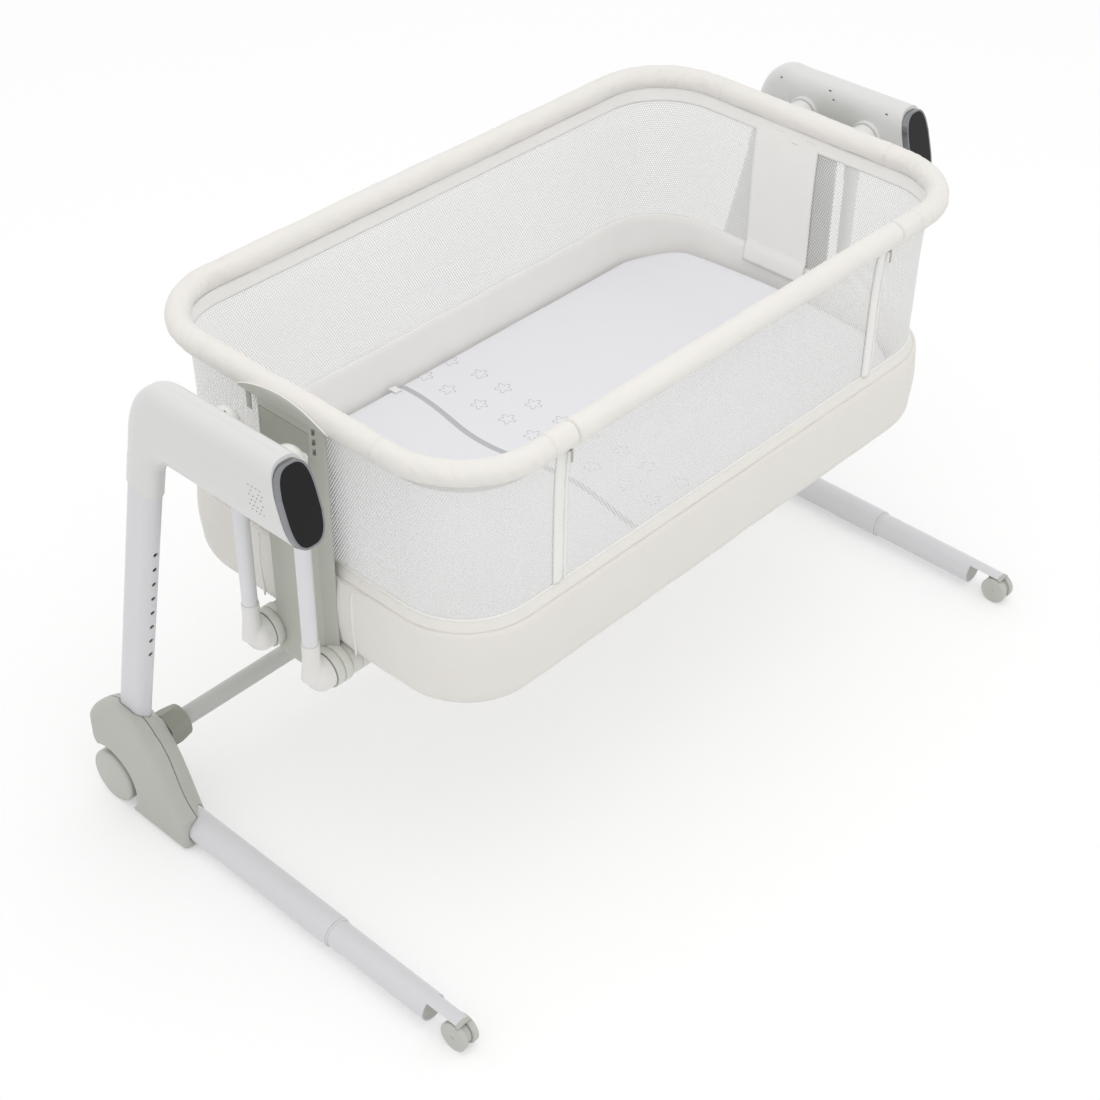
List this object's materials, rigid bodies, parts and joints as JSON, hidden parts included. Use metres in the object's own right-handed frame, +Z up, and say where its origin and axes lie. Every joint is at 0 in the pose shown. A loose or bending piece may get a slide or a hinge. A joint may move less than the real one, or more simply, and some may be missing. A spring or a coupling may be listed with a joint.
{
  "type": "bassinet on stand",
  "caption": "Padded mesh bassinet hung on swing rods from two arms of a wheeled stand, with adjustable height and a drop side.",
  "frame": {"origin": "on the floor, in the middle of the outer box", "axes": "+Z up; +X along the bed, from the near end to the far end; -Y towards the drop side and the casters"},
  "size_m": [1.171, 0.662, 0.7052],
  "materials": {
    "ivory_fabric": "padded woven fabric",
    "mesh": "open knit mesh",
    "sheet": "smooth cotton",
    "board": "plain",
    "steel": "satin",
    "grey_plastic": "fine texture",
    "panel_grey": "smooth",
    "olive_plastic": "smooth",
    "white_plastic": "gloss",
    "white_paint": "powder coat",
    "aluminium": "satin",
    "chrome": "polished",
    "black_glass": "gloss",
    "pin_grey": "smooth",
    "rubber": "matt",
    "electronics": "plain"
  },
  "bodies": {
    "stand": {"corner_outer_halves": "grey_plastic", "corner_inner_halves": "grey_plastic", "foot_pads": "rubber", "crossbar": "white_paint", "crossbar_sockets": "olive_plastic", "post_tube_near": "white_paint", "post_tube_far": "white_paint", "post_bushes": "pin_grey", "leg_tube_near": "white_paint", "leg_tube_far": "white_paint", "rear_axles": "steel"},
    "rear_wheel_near": {"rear_wheel_near": "grey_plastic"},
    "rear_wheel_far": {"rear_wheel_far": "grey_plastic"},
    "leg_near": {"leg_slider_near": "white_paint", "leg_cap_near": "grey_plastic"},
    "caster_near": {"caster_body_near": "grey_plastic"},
    "caster_wheels_near": {"caster_wheels_near": "grey_plastic"},
    "leg_far": {"leg_slider_far": "white_paint", "leg_cap_far": "grey_plastic"},
    "caster_far": {"caster_body_far": "grey_plastic"},
    "caster_wheels_far": {"caster_wheels_far": "grey_plastic"},
    "arm_near": {"arm_outer_near": "white_plastic", "arm_inner_near": "white_plastic", "display_bezel_near": "chrome", "display_glass_near": "black_glass", "upper_pivot_pins_near": "steel", "height_tube_near": "aluminium", "swing_motor": "electronics", "speaker": "electronics", "control_board": "electronics"},
    "lock_near": {"lock_pin_near": "pin_grey"},
    "arm_far": {"arm_outer_far": "white_plastic", "arm_inner_far": "white_plastic", "display_bezel_far": "chrome", "display_glass_far": "black_glass", "upper_pivot_pins_far": "steel", "height_tube_far": "aluminium"},
    "lock_far": {"lock_pin_far": "pin_grey"},
    "rod_front_near": {"swing_rod_front_near": "white_paint", "rod_ends_front_near": "white_plastic"},
    "rod_rear_near": {"swing_rod_rear_near": "white_paint", "rod_ends_rear_near": "white_plastic"},
    "rod_front_far": {"swing_rod_front_far": "white_paint", "rod_ends_front_far": "white_plastic"},
    "rod_rear_far": {"swing_rod_rear_far": "white_paint", "rod_ends_rear_far": "white_plastic"},
    "basket": {"rim_frame": "steel", "rim_pad": "ivory_fabric", "mesh_wall": "mesh", "mesh_front": "mesh", "base_band": "ivory_fabric", "base_board": "board", "mattress": "sheet", "end_plate_near": "grey_plastic", "end_plate_far": "grey_plastic", "plate_panels": "panel_grey", "boss_collars": "grey_plastic", "lower_pivot_pins": "steel"},
    "front_rail": {"rail_tube": "steel", "rail_pad": "ivory_fabric"}
  },
  "joints": [
    {"name": "rear_wheel_near_spin", "type": "hinge", "parent": "stand", "child": "rear_wheel_near", "pos_m": [-0.5735, 0.2935, 0.0375], "axis": [1, 0, 0], "continuous": true},
    {"name": "rear_wheel_far_spin", "type": "hinge", "parent": "stand", "child": "rear_wheel_far", "pos_m": [0.5735, 0.2935, 0.0375], "axis": [1, 0, 0], "continuous": true},
    {"name": "leg_near_slide", "type": "slide", "parent": "stand", "child": "leg_near", "axis": [0, -1, 0], "range_m": [-0.14, 0.05]},
    {"name": "caster_near_swivel", "type": "hinge", "parent": "leg_near", "child": "caster_near", "pos_m": [-0.556, -0.302, 0.03], "axis": [0, 0, 1], "continuous": true},
    {"name": "caster_near_spin", "type": "hinge", "parent": "caster_near", "child": "caster_wheels_near", "pos_m": [-0.556, -0.3115, 0.0195], "axis": [1, 0, 0], "continuous": true},
    {"name": "leg_far_slide", "type": "slide", "parent": "stand", "child": "leg_far", "axis": [0, -1, 0], "range_m": [-0.14, 0.05]},
    {"name": "caster_far_swivel", "type": "hinge", "parent": "leg_far", "child": "caster_far", "pos_m": [0.556, -0.302, 0.03], "axis": [0, 0, 1], "continuous": true},
    {"name": "caster_far_spin", "type": "hinge", "parent": "caster_far", "child": "caster_wheels_far", "pos_m": [0.556, -0.3115, 0.0195], "axis": [1, 0, 0], "continuous": true},
    {"name": "height_near", "type": "slide", "parent": "stand", "child": "arm_near", "axis": [0, -0.2224, 0.975], "range_m": [0, 0.1792]},
    {"name": "lock_near_push", "type": "slide", "parent": "arm_near", "child": "lock_near", "axis": [0, -0.975, -0.2224], "range_m": [0, 0.0024]},
    {"name": "height_far", "type": "slide", "parent": "stand", "child": "arm_far", "axis": [0, -0.2224, 0.975], "range_m": [0, 0.1792]},
    {"name": "lock_far_push", "type": "slide", "parent": "arm_far", "child": "lock_far", "axis": [0, -0.975, -0.2224], "range_m": [0, 0.0024]},
    {"name": "rod_front_near_swing", "type": "hinge", "parent": "arm_near", "child": "rod_front_near", "pos_m": [-0.494, -0.021, 0.654], "axis": [1, 0, 0], "range_deg": [-7, 7]},
    {"name": "rod_rear_near_swing", "type": "hinge", "parent": "arm_near", "child": "rod_rear_near", "pos_m": [-0.494, 0.083, 0.654], "axis": [1, 0, 0], "range_deg": [-7, 7]},
    {"name": "rod_front_far_swing", "type": "hinge", "parent": "arm_far", "child": "rod_front_far", "pos_m": [0.494, -0.021, 0.654], "axis": [1, 0, 0], "range_deg": [-7, 7]},
    {"name": "rod_rear_far_swing", "type": "hinge", "parent": "arm_far", "child": "rod_rear_far", "pos_m": [0.494, 0.083, 0.654], "axis": [1, 0, 0], "range_deg": [-7, 7]},
    {"name": "basket_level", "type": "hinge", "parent": "rod_front_near", "child": "basket", "pos_m": [-0.494, -0.021, 0.346], "axis": [1, 0, 0], "range_deg": [-7, 7]},
    {"name": "front_rail_drop", "type": "slide", "parent": "basket", "child": "front_rail", "axis": [0, 0, -1], "range_m": [0, 0.185], "deforming": ["mesh_front"]}
  ],
  "couplings": [
    {"joint": "height_far", "follows": "height_near", "ratio": 1},
    {"joint": "rod_rear_near_swing", "follows": "rod_front_near_swing", "ratio": 1},
    {"joint": "rod_front_far_swing", "follows": "rod_front_near_swing", "ratio": 1},
    {"joint": "rod_rear_far_swing", "follows": "rod_front_near_swing", "ratio": 1},
    {"joint": "basket_level", "follows": "rod_front_near_swing", "ratio": -1}
  ]
}
